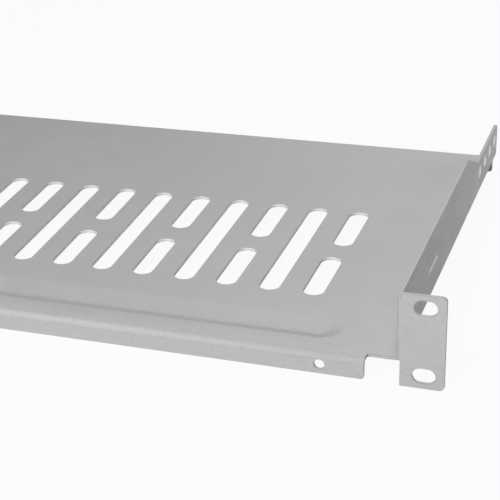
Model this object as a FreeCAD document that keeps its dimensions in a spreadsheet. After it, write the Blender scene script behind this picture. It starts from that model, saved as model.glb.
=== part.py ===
import FreeCAD, Part
import math
import os
import re

import Sketcher

# Cantilever rack shelf, folded from one steel sheet, in millimetres.
# X runs across the rack, Y from front to rear and Z up.
# The model is drawn with the top face of the deck at Z = 0 and the front face of the ears at Y = 0.
# Its placement then puts the origin at the centre of the rack slots, on the rear face of the ears,
# which is the face that bears on the rack.

NODE = "cantilever_shelf"

SIZES = {
    # the sheet and its folds
    "sheet_thickness": 1.5,
    "fold_radius": 1.5,
    "ear_fold_radius": 0.8,
    # the tray: overall depth, and the height of its side walls from the underside
    "body_depth": 250.0,
    "wall_height": 33.5,
    "wall_corner_radius": 10.0,
    "tail_height": 20.0,
    "tail_length": 60.0,
    "slope_length": 31.5,
    "tail_corner_radius": 3.0,
    # the flanges folded down at the front and rear, level with the lower edge of the ears
    "flange_depth": 9.5,
    "flange_corner_radius": 1.4,
    "front_flange_setback": 0.8,
    "rear_flange_gap": 1.6,
    "rear_fold_relief": 1.0,
    # the notches between the front flange and the outside of the walls
    "notch_width": 15.0,
    "notch_depth": 7.0,
    "notch_corner_radius": 1.5,
    # the ears, one rack unit high, and their slots, which come 465.1 apart across the rack
    "panel_width": 482.6,
    "ear_reach": 19.3,
    "ear_height": 43.6,
    "ear_edge_gap": 0.4,
    "ear_fold_gap": 0.9,
    "ear_corner_radius": 2.2,
    "rack_slot_inset": 8.75,
    "rack_slot_rise": 31.75,
    "rack_slot_length": 10.0,
    "rack_slot_width": 7.0,
    # the vents: columns of two short slots, with columns of one long slot between them
    "vent_width": 10.0,
    "vent_pitch": 21.2,
    "vent_front": 55.0,
    "short_vent_length": 42.5,
    "vent_web": 14.0,
    "short_columns": 9,
    # the stiffening bead pressed down into the deck, steep at its front and ends and gentle at its rear
    "bead_end_gap": 30.5,
    "bead_width": 20.2,
    "bead_front": 15.5,
    "bead_depth": 1.8,
    "bead_front_slope": 5.8,
    "bead_end_slope": 8.0,
    "bead_floor_width": 2.6,
    "bead_rim_radius": 6.0,
    "bead_floor_radius": 8.0,
    # the round holes near the ends of the front flange
    "flange_hole_inset": 19.5,
    "flange_hole_drop": 5.2,
    "flange_hole_diameter": 4.8,
    # the row of round holes in the tail of each wall
    "tail_hole_diameter": 8.0,
    "tail_hole_pitch": 15.0,
    "tail_hole_inset": 7.7,
    "tail_hole_level": 11.0,
    "tail_hole_count": 4,
    # the narrow slot near the front of each wall
    "tie_slot_length": 21.0,
    "tie_slot_height": 3.0,
    "tie_slot_front": 62.0,
    "tie_slot_level": 14.0,
}

# Sizes that follow from the ones above, as formulas of their names
DERIVED = {
    "through_cut": "4 * sheet_thickness",
    "body_width": "panel_width - 2 * ear_reach",
    "front_flange_length": "body_width - 2 * notch_width",
    "flange_hole_span": "front_flange_length - 2 * flange_hole_inset",
    "rear_flange_length": "body_width - 2 * rear_flange_gap",
    "rack_slot_span": "panel_width - 2 * rack_slot_inset",
    "bead_length": "body_width - 2 * bead_end_gap",
    "wall_outside": "body_width / 2",
    "wall_inside": "wall_outside - sheet_thickness",
    "wall_top": "wall_height - sheet_thickness",
    "tail_top": "tail_height - sheet_thickness",
    "fold_outside": "fold_radius + sheet_thickness",
    "ear_fold_outside": "ear_fold_radius + sheet_thickness",
    "ear_outside": "panel_width / 2",
    "ear_inside": "wall_outside + ear_edge_gap",
    "ear_fold_bottom": "fold_outside - sheet_thickness + ear_fold_gap",
    "ear_top": "ear_height - flange_depth",
    "rack_slot_level": "ear_height / 2 - flange_depth",
    "rear_fold_length": "body_width - 2 * fold_outside - 2 * rear_fold_relief",
    "tail_front": "body_depth - tail_length",
    "slope_front": "tail_front - slope_length",
    "long_vent_length": "2 * short_vent_length + vent_web",
    "rear_vent_front": "vent_front + short_vent_length + vent_web",
    "first_short_column": "-(short_columns - 1) * vent_pitch",
    "first_long_column": "first_short_column + vent_pitch",
    "bead_rear": "bead_front + bead_width",
    "bead_axis": "bead_front + bead_width / 2",
    "bead_floor_axis": "bead_front + bead_front_slope + bead_floor_width / 2",
    "bead_floor_length": "bead_length - 2 * bead_end_slope",
    "last_tail_hole": "body_depth - tail_hole_inset",
}

# Two places closer than this are the same one
CLOSE = 1e-4


def in_full(formula):
    """A formula with the table's name written before each size."""
    return re.sub(r"[a-z]\w*", r"Sizes.\g<0>", formula)


def write_table(doc):
    """Fill the table of sizes: one row for each size, then one for each derived size."""
    table = doc.addObject("Spreadsheet::Sheet", "Sizes")
    row = 0
    for alias, value in SIZES.items():
        row += 1
        table.set(f"A{row}", alias)
        table.set(f"B{row}", str(value))
        table.setAlias(f"B{row}", alias)
    doc.recompute()
    for alias, formula in DERIVED.items():
        row += 1
        table.set(f"A{row}", alias)
        table.set(f"B{row}", "=" + formula)
        table.setAlias(f"B{row}", alias)
        doc.recompute()
    return table


class Model:
    """The folded sheet as one body, and the helpers that draw and fold it."""

    def __init__(self, doc, table):
        self.doc = doc
        self.table = table
        self.body = doc.addObject("PartDesign::Body", NODE)
        self.body.Label = NODE
        doc.recompute()

    def size(self, formula):
        """The value of a formula of the table's names."""
        return float(self.table.evalExpression(formula))

    def bind(self, thing, path, formula):
        """Tie a property to a formula of the table's names."""
        thing.setExpression(path, in_full(formula))

    def plane(self, role):
        """One of the body's own origin planes."""
        return [part for part in self.body.Origin.OriginFeatures if part.Role == role][0]

    def sketch(self, name, role, offset="0"):
        """An empty sketch on an origin plane, moved along the plane's normal."""
        sketch = self.body.newObject("Sketcher::SketchObject", name)
        sketch.AttachmentSupport = [(self.plane(role), "")]
        sketch.MapMode = "FlatFace"
        self.bind(sketch, "AttachmentOffset.Base.z", offset)
        return sketch

    def pin(self, sketch, kind, geometry, point, formula):
        """Tie one coordinate of a point to a formula, measured from the sketch's origin."""
        value = self.size(formula)
        index = sketch.addConstraint(Sketcher.Constraint(kind, -1, 1, geometry, point, value))
        self.bind(sketch, f"Constraints[{index}]", formula)

    def polygon(self, sketch, corners):
        """A closed outline of straight lines through corners given as pairs of formulas."""
        places = [FreeCAD.Vector(self.size(across), self.size(up), 0) for across, up in corners]
        lines = []
        for start, end in zip(places, places[1:] + places[:1]):
            lines.append(sketch.addGeometry(Part.LineSegment(start, end), False))
        for line, following in zip(lines, lines[1:] + lines[:1]):
            sketch.addConstraint(Sketcher.Constraint("Coincident", line, 2, following, 1))
        for line, (across, up) in zip(lines, corners):
            self.pin(sketch, "DistanceX", line, 1, across)
            self.pin(sketch, "DistanceY", line, 1, up)

    def circle(self, sketch, across, up, diameter):
        """A circle, its centre and diameter given as formulas."""
        centre = FreeCAD.Vector(self.size(across), self.size(up), 0)
        normal = FreeCAD.Vector(0, 0, 1)
        ring = sketch.addGeometry(Part.Circle(centre, normal, self.size(diameter) / 2), False)
        self.pin(sketch, "DistanceX", ring, 3, across)
        self.pin(sketch, "DistanceY", ring, 3, up)
        index = sketch.addConstraint(Sketcher.Constraint("Diameter", ring, self.size(diameter)))
        self.bind(sketch, f"Constraints[{index}]", diameter)

    def slot(self, sketch, start, end, level, width, upright=False):
        """A slot with full-round ends, from start to end overall, at a level across it."""
        first = f"{start} + ({width}) / 2"
        last = f"{end} - ({width}) / 2"
        radius = self.size(width) / 2
        turn = math.pi / 2 if upright else 0.0
        normal = FreeCAD.Vector(0, 0, 1)
        along = FreeCAD.Vector(math.cos(turn), math.sin(turn), 0)
        aside = FreeCAD.Vector(-along.y, along.x, 0)
        foot = along * self.size(first) + aside * self.size(level) * (-1 if upright else 1)
        head = along * self.size(last) + aside * self.size(level) * (-1 if upright else 1)
        far_end = Part.Circle(head, normal, radius)
        near_end = Part.Circle(foot, normal, radius)
        quarter = math.pi / 2
        head_arc = sketch.addGeometry(Part.ArcOfCircle(far_end, turn - quarter, turn + quarter))
        left_side = sketch.addGeometry(Part.LineSegment(head + aside * radius, foot + aside * radius))
        foot_arc = sketch.addGeometry(Part.ArcOfCircle(near_end, turn + quarter, turn + 3 * quarter))
        right_side = sketch.addGeometry(Part.LineSegment(foot - aside * radius, head - aside * radius))
        for one, other in ((head_arc, left_side), (left_side, foot_arc), (foot_arc, right_side)):
            sketch.addConstraint(Sketcher.Constraint("Tangent", one, 2, other, 1))
        sketch.addConstraint(Sketcher.Constraint("Tangent", right_side, 2, head_arc, 1))
        lengthwise, crosswise = ("DistanceY", "DistanceX") if upright else ("DistanceX", "DistanceY")
        self.pin(sketch, lengthwise, head_arc, 3, last)
        self.pin(sketch, crosswise, head_arc, 3, level)
        self.pin(sketch, lengthwise, foot_arc, 3, first)
        self.pin(sketch, crosswise, foot_arc, 3, level)
        index = sketch.addConstraint(Sketcher.Constraint("Radius", head_arc, radius))
        self.bind(sketch, f"Constraints[{index}]", f"({width}) / 2")

    def pad(self, name, sketch, length, both_ways=False, backwards=False):
        """Material over a sketch: along its normal, backwards, or half each way."""
        feature = self.body.newObject("PartDesign::Pad", name)
        feature.Profile = sketch
        self.bind(feature, "Length", length)
        feature.Midplane = both_ways
        feature.Reversed = backwards
        return self.settle(feature)

    def pocket(self, name, sketch, length, both_ways=False, backwards=False):
        """A cut under a sketch: against its normal, backwards, or half each way."""
        before = self.body.Shape.Volume
        feature = self.body.newObject("PartDesign::Pocket", name)
        feature.Profile = sketch
        self.bind(feature, "Length", length)
        feature.Midplane = both_ways
        feature.Reversed = backwards
        self.settle(feature)
        if not feature.Shape.Volume < before:
            raise RuntimeError(f"{name} cuts nothing")
        return feature

    def loft(self, name, kind, first, last):
        """Material or a cut between two outlines, with straight sides."""
        feature = self.body.newObject(f"PartDesign::{kind}", name)
        feature.Profile = first
        feature.Sections = [last]
        feature.Ruled = True
        return self.settle(feature)

    def across(self, name, feature, length, copies):
        """Copies of a cut, in a row along X."""
        row = self.body.newObject("PartDesign::LinearPattern", name)
        row.Originals = [feature]
        row.Direction = (self.plane("YZ_Plane"), [""])
        self.bind(row, "Length", length)
        self.bind(row, "Occurrences", copies)
        return self.settle(row)

    def mirror(self, name, features):
        """The same features on the other side of the shelf's middle."""
        twin = self.body.newObject("PartDesign::Mirrored", name)
        twin.Originals = features
        twin.MirrorPlane = (self.plane("YZ_Plane"), [""])
        return self.settle(twin)

    def round_edges(self, name, radius, wanted):
        """Round the edges that a test picks out."""
        base = self.body.Tip
        found = [f"Edge{n}" for n, edge in enumerate(base.Shape.Edges, 1) if wanted(edge)]
        if not found:
            raise RuntimeError(f"{name} finds no edge")
        feature = self.body.newObject("PartDesign::Fillet", name)
        feature.Base = (base, found)
        self.bind(feature, "Radius", radius)
        return self.settle(feature)

    def settle(self, feature):
        """Make a feature the body's latest and work it out."""
        self.body.Tip = feature
        self.doc.recompute()
        return feature

    def edges_along(self, axis, places):
        """A test for straight edges along an axis through any of the given places.

        Each place has a formula or None for X, Y and Z, and counts on both sides of the middle."""
        targets = [[None if p is None else self.size(p) for p in place] for place in places]

        def wanted(edge):
            if not isinstance(edge.Curve, (Part.Line, Part.LineSegment)):
                return False
            start, end = edge.Vertexes[0].Point, edge.Vertexes[-1].Point
            run = end - start
            if run.Length < CLOSE or abs(abs(run[axis]) - run.Length) > CLOSE:
                return False
            middle = (start + end) * 0.5
            here = (abs(middle.x), middle.y, middle.z)
            return any(
                all(goal is None or abs(value - goal) < CLOSE for value, goal in zip(here, target))
                for target in targets
            )

        return wanted

    def edges_at(self, height, front, rear):
        """A test for edges that lie at a height, between two lines across the deck."""
        level = self.size(height)
        low = self.size(front) - CLOSE
        high = self.size(rear) + CLOSE

        def wanted(edge):
            points = [vertex.Point for vertex in edge.Vertexes]
            return all(abs(point.z - level) < CLOSE and low < point.y < high for point in points)

        return wanted


def fold_tray(model):
    """The deck and its two side walls, as a channel that starts behind the notches."""
    section = model.sketch("tray_section", "XZ_Plane", "-notch_depth")
    model.polygon(section, [
        ("-wall_outside", "wall_top"),
        ("-wall_outside", "-sheet_thickness"),
        ("wall_outside", "-sheet_thickness"),
        ("wall_outside", "wall_top"),
        ("wall_inside", "wall_top"),
        ("wall_inside", "0"),
        ("-wall_inside", "0"),
        ("-wall_inside", "wall_top"),
    ])
    model.pad("tray", section, "body_depth - notch_depth", backwards=True)
    outer = model.edges_along(1, [("wall_outside", None, "-sheet_thickness")])
    inner = model.edges_along(1, [("wall_inside", None, "0")])
    model.round_edges("wall_folds_outside", "fold_outside", outer)
    model.round_edges("wall_folds_inside", "fold_radius", inner)


def fold_front_flange(model):
    """The front edge of the deck, folded down between the two notches."""
    section = model.sketch("front_flange_section", "YZ_Plane")
    face = "front_flange_setback"
    back = "front_flange_setback + sheet_thickness"
    model.polygon(section, [
        (face, "-flange_depth"),
        (back, "-flange_depth"),
        (back, "-sheet_thickness"),
        ("notch_depth", "-sheet_thickness"),
        ("notch_depth", "0"),
        (face, "0"),
    ])
    model.pad("front_flange", section, "front_flange_length", both_ways=True)
    outer = model.edges_along(0, [(None, face, "0")])
    inner = model.edges_along(0, [(None, back, "-sheet_thickness")])
    model.round_edges("front_fold_outside", "fold_outside", outer)
    model.round_edges("front_fold_inside", "fold_radius", inner)
    corners = model.edges_along(1, [("front_flange_length / 2", None, "-flange_depth")])
    model.round_edges("front_flange_corners", "flange_corner_radius", corners)
    roots = model.edges_along(2, [("front_flange_length / 2", "notch_depth", None)])
    model.round_edges("notch_corners", "notch_corner_radius", roots)


def fold_rear_flange(model):
    """The rear edge of the deck, folded down, with a slit at each end to free it from the walls."""
    fold_start = "body_depth - fold_outside"
    inside = "body_depth - sheet_thickness"
    slit_end = "body_width / 2 - fold_outside"
    trim = model.sketch("rear_trim_outline", "XY_Plane")
    model.polygon(trim, [
        (f"-({slit_end})", fold_start),
        (slit_end, fold_start),
        (slit_end, "body_depth"),
        (f"-({slit_end})", "body_depth"),
    ])
    model.pocket("rear_trim", trim, "through_cut", both_ways=True)

    section = model.sketch("rear_fold_section", "YZ_Plane")
    model.polygon(section, [
        (fold_start, "0"),
        ("body_depth", "0"),
        ("body_depth", "-flange_depth"),
        (inside, "-flange_depth"),
        (inside, "-sheet_thickness"),
        (fold_start, "-sheet_thickness"),
    ])
    model.pad("rear_fold", section, "rear_fold_length", both_ways=True)
    outer = model.edges_along(0, [(None, "body_depth", "0")])
    inner = model.edges_along(0, [(None, inside, "-sheet_thickness")])
    model.round_edges("rear_fold_outside", "fold_outside", outer)
    model.round_edges("rear_fold_inside", "fold_radius", inner)

    face = model.sketch("rear_flange_face", "XZ_Plane", "-body_depth")
    model.polygon(face, [
        ("-rear_flange_length / 2", "-flange_depth"),
        ("rear_flange_length / 2", "-flange_depth"),
        ("rear_flange_length / 2", "-fold_outside"),
        ("-rear_flange_length / 2", "-fold_outside"),
    ])
    model.pad("rear_flange", face, "sheet_thickness")
    corners = model.edges_along(1, [("rear_flange_length / 2", None, "-flange_depth")])
    model.round_edges("rear_flange_corners", "flange_corner_radius", corners)


def fold_ears(model):
    """The ears: each wall runs on past its notch and turns outwards, flat against the rack."""
    section = model.sketch("ear_fold_section", "XY_Plane", "ear_fold_bottom")
    model.polygon(section, [
        ("wall_inside", "0"),
        ("ear_outside", "0"),
        ("ear_outside", "sheet_thickness"),
        ("wall_outside", "sheet_thickness"),
        ("wall_outside", "notch_depth"),
        ("wall_inside", "notch_depth"),
    ])
    fold = model.pad("ear_fold", section, "wall_top - ear_fold_bottom")
    twin = model.mirror("ear_fold_twin", [fold])
    outer = model.edges_along(2, [("wall_inside", "0", None)])
    inner = model.edges_along(2, [("wall_outside", "sheet_thickness", None)])
    model.round_edges("ear_folds_outside", "ear_fold_outside", outer)
    model.round_edges("ear_folds_inside", "ear_fold_radius", inner)

    outline = model.sketch("ear_outline", "XZ_Plane")
    model.polygon(outline, [
        ("ear_inside", "-flange_depth"),
        ("ear_outside", "-flange_depth"),
        ("ear_outside", "ear_top"),
        ("ear_inside", "ear_top"),
    ])
    ear = model.pad("ear", outline, "sheet_thickness", backwards=True)
    model.mirror("ear_twin", [ear])
    corners = model.edges_along(1, [
        ("ear_outside", None, "-flange_depth"),
        ("ear_outside", None, "ear_top"),
    ])
    model.round_edges("ear_corners", "ear_corner_radius", corners)

    slots = model.sketch("rack_slots_outline", "XZ_Plane")
    for side in ("-", ""):
        middle = f"{side}rack_slot_span / 2"
        for height in ("rack_slot_level - rack_slot_rise / 2", "rack_slot_level + rack_slot_rise / 2"):
            start = f"{middle} - rack_slot_length / 2"
            end = f"{middle} + rack_slot_length / 2"
            model.slot(slots, start, end, height, "rack_slot_width")
    model.pocket("rack_slots", slots, "through_cut", both_ways=True)


def cut_walls(model):
    """The lower tail of each wall, its row of holes, and the narrow slot near the front."""
    drop = model.sketch("wall_slope_outline", "YZ_Plane")
    model.polygon(drop, [
        ("slope_front", "wall_top"),
        ("tail_front", "tail_top"),
        ("body_depth", "tail_top"),
        ("body_depth", "wall_top"),
    ])
    model.pocket("wall_slope", drop, "body_width", both_ways=True)
    crest = model.edges_along(0, [(None, "slope_front", "wall_top")])
    tail = model.edges_along(0, [(None, "body_depth", "tail_top")])
    model.round_edges("slope_crest", "wall_corner_radius", crest)
    model.round_edges("tail_corner", "tail_corner_radius", tail)

    holes = model.sketch("tail_hole_outline", "YZ_Plane")
    for number in range(int(SIZES["tail_hole_count"])):
        place = f"last_tail_hole - {number} * tail_hole_pitch"
        model.circle(holes, place, "tail_hole_level", "tail_hole_diameter")
    model.pocket("tail_holes", holes, "body_width", both_ways=True)

    slot = model.sketch("tie_slot_outline", "YZ_Plane")
    end = "tie_slot_front + tie_slot_length"
    model.slot(slot, "tie_slot_front", end, "tie_slot_level", "tie_slot_height")
    model.pocket("tie_slots", slot, "body_width", both_ways=True)


def cut_vents(model):
    """The vents in the deck, as two rows of copies across it."""
    short = model.sketch("short_vent_outline", "XY_Plane")
    for front in ("vent_front", "rear_vent_front"):
        end = f"{front} + short_vent_length"
        model.slot(short, front, end, "first_short_column", "vent_width", upright=True)
    cut = model.pocket("short_vents", short, "through_cut", both_ways=True)
    span = "2 * (short_columns - 1) * vent_pitch"
    model.across("short_vent_row", cut, span, "short_columns")

    long = model.sketch("long_vent_outline", "XY_Plane")
    end = "vent_front + long_vent_length"
    model.slot(long, "vent_front", end, "first_long_column", "vent_width", upright=True)
    cut = model.pocket("long_vents", long, "through_cut", both_ways=True)
    span = "2 * (short_columns - 2) * vent_pitch"
    model.across("long_vent_row", cut, span, "short_columns - 1")


def cut_flange_holes(model):
    """The round hole near each end of the front flange."""
    holes = model.sketch("flange_hole_outline", "XZ_Plane")
    for side in ("-", ""):
        model.circle(holes, f"{side}flange_hole_span / 2", "-flange_hole_drop", "flange_hole_diameter")
    model.pocket("flange_holes", holes, "through_cut", both_ways=True)


def press_bead(model):
    """The bead: a shallow trough pressed down through the deck, with a ridge under it as deep.

    The sheet bends over the rim and round the floor, so the radii differ by its thickness."""
    ridge_rim = "bead_rim_radius - sheet_thickness"
    ridge_floor = "bead_floor_radius + sheet_thickness"
    bead_side(model, "bead_ridge", "AdditiveLoft", "-sheet_thickness", ridge_rim, ridge_floor)
    bead_side(model, "bead_trough", "SubtractiveLoft", "0", "bead_rim_radius", "bead_floor_radius")


def bead_side(model, name, kind, level, rim_radius, floor_radius):
    """One side of the bead, from a level down: straight slopes from its rim to its narrow floor."""
    bottom = f"{level} - bead_depth"
    rim = model.sketch(f"{name}_rim_outline", "XY_Plane", level)
    model.slot(rim, "-bead_length / 2", "bead_length / 2", "bead_axis", "bead_width")
    floor = model.sketch(f"{name}_floor_outline", "XY_Plane", bottom)
    ends = ("-bead_floor_length / 2", "bead_floor_length / 2")
    model.slot(floor, *ends, "bead_floor_axis", "bead_floor_width")
    model.loft(name, kind, rim, floor)
    for place_name, height, radius in (("rim", level, rim_radius), ("floor", bottom, floor_radius)):
        wanted = model.edges_at(height, "bead_front", "bead_rear")
        model.round_edges(f"{name}_{place_name}", radius, wanted)


def place(model):
    """Put the origin at the centre of the rack slots, on the rear face of the ears."""
    model.bind(model.body, "Placement.Base.y", "-sheet_thickness")
    model.bind(model.body, "Placement.Base.z", "-rack_slot_level")
    model.doc.recompute()


def check(doc, body):
    """Stop if anything in the document failed or the body isn't one sound solid."""
    for thing in doc.Objects:
        if "Invalid" in thing.State or "Error" in thing.State:
            raise RuntimeError(f"{thing.Name} failed: {thing.State}")
    shape = body.Shape
    if shape.isNull() or not shape.isValid() or len(shape.Solids) != 1:
        raise RuntimeError(f"{body.Label} isn't one valid solid")


def main():
    doc = FreeCAD.newDocument("rack_shelf")
    model = Model(doc, write_table(doc))
    fold_tray(model)
    fold_front_flange(model)
    fold_rear_flange(model)
    fold_ears(model)
    cut_walls(model)
    cut_vents(model)
    cut_flange_holes(model)
    press_bead(model)
    place(model)
    check(doc, model.body)
    os.makedirs("parts", exist_ok=True)
    model.body.Shape.exportStep(f"parts/{model.body.Label}.step")
    print(f"{model.body.Label}: {model.body.Shape.Volume / 1000:.1f} cm3")


main()
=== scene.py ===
import math

import bpy
from mathutils import Matrix, Vector


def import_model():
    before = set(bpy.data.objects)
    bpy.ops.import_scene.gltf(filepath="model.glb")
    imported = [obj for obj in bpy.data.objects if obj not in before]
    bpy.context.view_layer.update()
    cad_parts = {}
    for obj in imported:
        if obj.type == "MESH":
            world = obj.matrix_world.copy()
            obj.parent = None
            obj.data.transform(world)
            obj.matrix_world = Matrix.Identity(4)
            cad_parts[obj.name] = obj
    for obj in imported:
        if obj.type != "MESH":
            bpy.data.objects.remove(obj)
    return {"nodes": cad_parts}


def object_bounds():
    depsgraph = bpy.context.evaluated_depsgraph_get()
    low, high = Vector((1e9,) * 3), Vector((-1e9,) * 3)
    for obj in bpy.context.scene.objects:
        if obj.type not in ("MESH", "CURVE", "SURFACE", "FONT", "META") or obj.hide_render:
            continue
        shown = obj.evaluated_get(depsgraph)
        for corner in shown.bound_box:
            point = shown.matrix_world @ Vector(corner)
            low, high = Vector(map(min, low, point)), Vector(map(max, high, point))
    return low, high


# A cantilever rack shelf in light grey powder coat, in metres.
# X runs across the rack, Y from the front to the rear and Z up, with the origin between the rack slots.

SHELF = "cantilever_shelf"

# How closely the CAD mesh's points are joined and its flat faces merged
JOINED_WITHIN = 0.000002
FLAT_WITHIN = math.radians(0.5)

# The coat is sprayed on as powder, so it rounds the cut edges of the sheet a little
EDGE_ROUNDING = 0.00028
SHARP_FROM = math.radians(40)

# The coat's tones: the range over the faces, a darker tone within a short reach of each cut edge, and a
# painted light, near white, on the cut faces inside the openings, which look nearly white in the photograph
COAT_DARK = (0.412, 0.412, 0.413, 1)
COAT_PALE = (0.508, 0.508, 0.507, 1)
COAT_AT_EDGE = (0.26, 0.26, 0.261, 1)
PAINTED_LIGHT_IN_OPENINGS = (0.8, 0.8, 0.8, 1)
COAT_IOR = 1.36

# The coat's grains by the size of their cells, and how far each sways the tone from dark to pale
DRIFT_CELL, DRIFT_SWAY = 0.11, 0.45
PATCH_CELL, PATCH_SWAY = 0.016, 0.3
PEBBLE_CELL, PEBBLE_SWAY = 0.0021, 0.95
SPECK_CELL, SPECK_SWAY = 0.0009, 0.5
GRAIN_MIDDLE = 0.5
GRAIN_SPAN = (0.3, 0.7)

# How high the two finest grains stand on the sheet
PEBBLE_HEIGHT = 0.00012
SPECK_HEIGHT = 0.00002

# The powder gathers at the front: the fine grains are full there and fall to a share behind
FULL_GRAIN_UNTIL = 0.0
THIN_GRAIN_FROM = 0.10
THIN_GRAIN_SHARE = 0.45

# The coat turns darker within a short reach of each cut edge, where the sheet's face turns away.
# The span gives how alike the bent and the plain face directions are, on the face and on the edge.
EDGE_REACH = 0.0006
EDGE_LIKENESS = (0.985, 0.80)
EDGE_SAMPLES = 8
EDGE_SHARE = (0.5, 0.85)
ROUGHNESS = (0.46, 0.56)
ROUGHER_AT_EDGE = 0.08

# The deck curls down a little before the front fold, between the ends of the front flange
FRONT_FLANGE_HALF = 0.207
FRONT_CURL_START = 0.0105
FRONT_CURL_END = -0.002
FRONT_CURL_DROP = 0.0019

# The cut faces inside the vents of the deck, and inside the slot and holes of the walls, that are painted
# near white as painted light,
# each as the spans of half the width, of the depth and of the height that hold them
VENT_FACES = ((-0.001, 0.205), (0.05, 0.156), (-0.01378, -0.01232))
WALL_OPENING_FACES = ((0.2206, 0.22185), (0.055, 0.246), (-0.006, 0.0035))

# The camera's place and turn, and the part of the full picture that it keeps
CAMERA_PLACE = (0.3420, -0.5945, 0.3199)
CAMERA_YAW = math.radians(-24.41)
CAMERA_PITCH = math.radians(24.01)
CAMERA_ROLL = math.radians(3.89)
CAMERA_LENS = 115.1
CAMERA_SENSOR = 36
CAMERA_SHIFT = (0.366, -0.026)
CAMERA_RANGE = (0.01, 50)

# Soft boxes: name, place, side of the square in metres, and power in watts
SOFT_BOXES = (
    ("overhead_box", (0.2, -0.6, 1.3), 0.6, 8.0),
    ("near_left_box", (-0.15, -0.72, 0.6), 0.35, 4.9),
    ("low_front_box", (0.2, -0.9, 0.35), 0.8, 3.3),
    ("rear_box", (0.1, 1.3, 0.9), 0.7, 8.1),
    ("low_right_box", (0.50, 0.42, 0.12), 0.2, 0.42),
)
LIT_SPOT = (0.1, 0.1, 0)

# The floor, a hair below the shelf: its paint, how white the eye sees it, and the light that it gives
FLOOR_SIDE = 12
FLOOR_GAP = 0.0002
FLOOR_PAINT = (0.6, 0.6, 0.6, 1)
FLOOR_SEEN_WHITE = 0.94
FLOOR_GLOW = 0.1


def main():
    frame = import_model()
    bpy.context.view_layer.update()
    shelf = frame["nodes"][SHELF]
    finish_edges(shelf)
    coat = powder_coat()
    for slot in shelf.material_slots:
        slot.material = coat
    set_camera()
    lay_floor()
    light_room()
    for name, place, side, power in SOFT_BOXES:
        hang_soft_box(name, place, side, power)
    bpy.context.scene.view_settings.view_transform = "Standard"
    bpy.context.view_layer.update()


def finish_edges(shelf):
    """Join the sheet's faces and round its cut edges by the thickness of the coat."""
    weld = shelf.modifiers.new("joined_faces", "WELD")
    weld.merge_threshold = JOINED_WITHIN
    flat = shelf.modifiers.new("plain_faces", "DECIMATE")
    flat.decimate_type = "DISSOLVE"
    flat.angle_limit = FLAT_WITHIN
    edge = shelf.modifiers.new("coated_edges", "BEVEL")
    edge.width = EDGE_ROUNDING
    edge.segments = 2
    edge.limit_method = "ANGLE"
    edge.angle_limit = SHARP_FROM
    edge.harden_normals = True


def new_material(name):
    material = bpy.data.materials.new(name)
    material.use_nodes = True
    tree = material.node_tree
    tree.nodes.clear()
    return material, tree


def feed(tree, value, socket):
    """Give a socket a number or a colour, or link it to another node's output."""
    if isinstance(value, (int, float, tuple)):
        socket.default_value = value
    else:
        tree.links.new(value, socket)


def reckon(tree, operation, first, second=0.0):
    """One sum on numbers that change over the surface."""
    node = tree.nodes.new("ShaderNodeMath")
    node.operation = operation
    feed(tree, first, node.inputs[0])
    feed(tree, second, node.inputs[1])
    return node.outputs["Value"]


def fade(tree, value, span, low=0.0, high=1.0, soft=False):
    """A number that goes from low to high as the value goes from the span's start to its end."""
    node = tree.nodes.new("ShaderNodeMapRange")
    node.interpolation_type = "SMOOTHSTEP" if soft else "LINEAR"
    feed(tree, value, node.inputs["Value"])
    node.inputs["From Min"].default_value, node.inputs["From Max"].default_value = span
    node.inputs["To Min"].default_value = low
    node.inputs["To Max"].default_value = high
    return node.outputs["Result"]


def grain(tree, place, cell, detail, roughness=0.5):
    """Cloudy noise, its cell given in metres."""
    node = tree.nodes.new("ShaderNodeTexNoise")
    node.inputs["Scale"].default_value = 1 / cell
    node.inputs["Detail"].default_value = detail
    node.inputs["Roughness"].default_value = roughness
    tree.links.new(place, node.inputs["Vector"])
    return node.outputs["Fac"]


def sway(tree, noise, amount):
    """How far a grain moves the tone, up where it is above its middle and down where it is below."""
    return reckon(tree, "MULTIPLY", reckon(tree, "SUBTRACT", noise, GRAIN_MIDDLE), amount)


def blend(tree, share, first, second):
    """A colour between two colours."""
    node = tree.nodes.new("ShaderNodeMix")
    node.data_type = "RGBA"
    feed(tree, share, node.inputs["Factor"])
    feed(tree, first, node.inputs["A"])
    feed(tree, second, node.inputs["B"])
    return node.outputs["Result"]


def within(tree, spots, spans):
    """1 where each number lies within its span, and 0 elsewhere."""
    inside = 1.0
    for spot, (low, high) in zip(spots, spans):
        inside = reckon(tree, "MULTIPLY", inside, reckon(tree, "GREATER_THAN", spot, low))
        inside = reckon(tree, "MULTIPLY", inside, reckon(tree, "LESS_THAN", spot, high))
    return inside


def edge_closeness(tree):
    """How close a point is to a cut edge of the sheet: 0 on the open faces and 1 on the edge."""
    turned = tree.nodes.new("ShaderNodeBevel")
    turned.samples = EDGE_SAMPLES
    turned.inputs["Radius"].default_value = EDGE_REACH
    face = tree.nodes.new("ShaderNodeNewGeometry")
    likeness = tree.nodes.new("ShaderNodeVectorMath")
    likeness.operation = "DOT_PRODUCT"
    tree.links.new(turned.outputs["Normal"], likeness.inputs[0])
    tree.links.new(face.outputs["Normal"], likeness.inputs[1])
    return fade(tree, likeness.outputs["Value"], EDGE_LIKENESS)


def front_curl(tree, along, half_way):
    """The height that the deck loses towards the front fold, between the ends of the front flange."""
    bend = fade(tree, along, (FRONT_CURL_START, FRONT_CURL_END))
    drop = reckon(tree, "MULTIPLY", reckon(tree, "POWER", bend, 2), -FRONT_CURL_DROP)
    return reckon(tree, "MULTIPLY", drop, reckon(tree, "LESS_THAN", half_way, FRONT_FLANGE_HALF))


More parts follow.
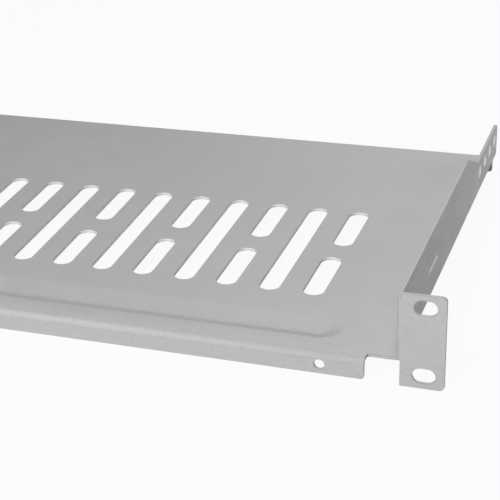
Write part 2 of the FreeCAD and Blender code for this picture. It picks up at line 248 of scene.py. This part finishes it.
def powder_coat():
    """Satin light grey powder coat: finely pebbled, uneven in tone, darker near each cut edge, and with
    painted light near white on the cut faces inside the openings.
    """
    material, tree = new_material("light_grey_powder_coat")
    place = tree.nodes.new("ShaderNodeTexCoord").outputs["Object"]
    apart = tree.nodes.new("ShaderNodeSeparateXYZ")
    tree.links.new(place, apart.inputs["Vector"])
    half_way = reckon(tree, "ABSOLUTE", apart.outputs["X"])
    along, up = apart.outputs["Y"], apart.outputs["Z"]

    drift = grain(tree, place, DRIFT_CELL, 2)
    patches = grain(tree, place, PATCH_CELL, 3)
    pebbles = grain(tree, place, PEBBLE_CELL, 3, 0.6)
    specks = grain(tree, place, SPECK_CELL, 2)
    thick = fade(tree, along, (THIN_GRAIN_FROM, FULL_GRAIN_UNTIL), THIN_GRAIN_SHARE, 1.0, soft=True)
    at_edge = edge_closeness(tree)

    tone = reckon(tree, "ADD", sway(tree, pebbles, PEBBLE_SWAY), sway(tree, specks, SPECK_SWAY))
    tone = reckon(tree, "MULTIPLY", tone, thick)
    tone = reckon(tree, "ADD", tone, sway(tree, drift, DRIFT_SWAY))
    tone = reckon(tree, "ADD", tone, sway(tree, patches, PATCH_SWAY))
    tone = reckon(tree, "ADD", tone, GRAIN_MIDDLE)
    # Darker within a short reach of each cut edge, by a share that follows the pebbles
    darker_at_edge = reckon(tree, "MULTIPLY", at_edge, fade(tree, pebbles, GRAIN_SPAN, *EDGE_SHARE))
    colour = blend(tree, darker_at_edge, blend(tree, tone, COAT_DARK, COAT_PALE), COAT_AT_EDGE)
    spots = (half_way, along, up)
    # Painted light: the cut faces inside the vents and the wall openings are painted near white, hiding
    # their shade
    in_vent = within(tree, spots, VENT_FACES)
    in_wall_opening = within(tree, spots, WALL_OPENING_FACES)
    colour = blend(tree, reckon(tree, "MAXIMUM", in_vent, in_wall_opening), colour, PAINTED_LIGHT_IN_OPENINGS)

    roughness = fade(tree, patches, GRAIN_SPAN, *ROUGHNESS)
    roughness = reckon(tree, "ADD", roughness, reckon(tree, "MULTIPLY", at_edge, ROUGHER_AT_EDGE))

    pebbled = reckon(tree, "MULTIPLY", reckon(tree, "MULTIPLY", pebbles, thick), PEBBLE_HEIGHT)
    height = reckon(tree, "ADD", front_curl(tree, along, half_way), pebbled)
    height = reckon(tree, "ADD", height, reckon(tree, "MULTIPLY", specks, SPECK_HEIGHT))
    relief = tree.nodes.new("ShaderNodeBump")
    relief.inputs["Strength"].default_value = 1
    relief.inputs["Distance"].default_value = 1
    tree.links.new(height, relief.inputs["Height"])

    shader = tree.nodes.new("ShaderNodeBsdfPrincipled")
    shader.inputs["IOR"].default_value = COAT_IOR
    tree.links.new(colour, shader.inputs["Base Color"])
    tree.links.new(roughness, shader.inputs["Roughness"])
    tree.links.new(relief.outputs["Normal"], shader.inputs["Normal"])
    output = tree.nodes.new("ShaderNodeOutputMaterial")
    tree.links.new(shader.outputs["BSDF"], output.inputs["Surface"])
    return material


def set_camera():
    """The photograph's view: its crop sits right of the full picture's middle, so the lens is shifted."""
    ahead = Vector((
        math.sin(CAMERA_YAW) * math.cos(CAMERA_PITCH),
        math.cos(CAMERA_YAW) * math.cos(CAMERA_PITCH),
        -math.sin(CAMERA_PITCH),
    ))
    level_right = Vector((math.cos(CAMERA_YAW), -math.sin(CAMERA_YAW), 0))
    level_down = ahead.cross(level_right)
    right = level_right * math.cos(CAMERA_ROLL) + level_down * math.sin(CAMERA_ROLL)
    down = level_down * math.cos(CAMERA_ROLL) - level_right * math.sin(CAMERA_ROLL)
    lens = bpy.data.cameras.new("camera")
    lens.lens = CAMERA_LENS
    lens.sensor_width = CAMERA_SENSOR
    lens.sensor_fit = "HORIZONTAL"
    lens.shift_x, lens.shift_y = CAMERA_SHIFT
    lens.clip_start, lens.clip_end = CAMERA_RANGE
    camera = bpy.data.objects.new("camera", lens)
    turn = Matrix((right, -down, -ahead)).transposed().to_4x4()
    camera.matrix_world = Matrix.Translation(CAMERA_PLACE) @ turn
    bpy.context.scene.collection.objects.link(camera)
    bpy.context.scene.camera = camera


def lay_floor():
    """A pale floor that shows white to the eye and keeps the shelf's soft shadow."""
    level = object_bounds()[0].z
    bpy.ops.mesh.primitive_plane_add(size=FLOOR_SIDE, location=(0, 0, level - FLOOR_GAP))
    floor = bpy.context.object
    floor.name = "floor"
    material, tree = new_material("pale_floor")
    paint = tree.nodes.new("ShaderNodeBsdfDiffuse")
    paint.inputs["Color"].default_value = FLOOR_PAINT
    glow = tree.nodes.new("ShaderNodeEmission")
    mixed = tree.nodes.new("ShaderNodeMixShader")
    seen = reckon(tree, "MULTIPLY", seen_rays(tree), FLOOR_SEEN_WHITE)
    tree.links.new(reckon(tree, "MAXIMUM", seen, FLOOR_GLOW), mixed.inputs["Fac"])
    tree.links.new(paint.outputs["BSDF"], mixed.inputs[1])
    tree.links.new(glow.outputs["Emission"], mixed.inputs[2])
    output = tree.nodes.new("ShaderNodeOutputMaterial")
    tree.links.new(mixed.outputs["Shader"], output.inputs["Surface"])
    floor.data.materials.append(material)


def seen_rays(tree):
    """1 for rays that the eye sends straight, in gloss or through glass, and 0 for the others."""
    rays = tree.nodes.new("ShaderNodeLightPath").outputs
    gloss = reckon(tree, "MAXIMUM", rays["Is Camera Ray"], rays["Is Glossy Ray"])
    return reckon(tree, "MAXIMUM", gloss, rays["Is Transmission Ray"])


def light_room():
    """A room that is white to the eye and gives the shelf no light of its own."""
    world = bpy.data.worlds.new("studio")
    bpy.context.scene.world = world
    world.use_nodes = True
    tree = world.node_tree
    tree.nodes.clear()
    room = tree.nodes.new("ShaderNodeBackground")
    room.inputs["Color"].default_value = (1, 1, 1, 1)
    rays = tree.nodes.new("ShaderNodeLightPath")
    tree.links.new(rays.outputs["Is Camera Ray"], room.inputs["Strength"])
    output = tree.nodes.new("ShaderNodeOutputWorld")
    tree.links.new(room.outputs["Background"], output.inputs["Surface"])


def hang_soft_box(name, place, side, power):
    """A square lamp that faces the shelf and that the eye doesn't see."""
    data = bpy.data.lights.new(name, "AREA")
    data.shape = "SQUARE"
    data.size = side
    data.energy = power
    box = bpy.data.objects.new(name, data)
    box.location = place
    box.visible_camera = False
    box.rotation_euler = (Vector(LIT_SPOT) - Vector(place)).to_track_quat("-Z", "Y").to_euler()
    bpy.context.scene.collection.objects.link(box)


main()
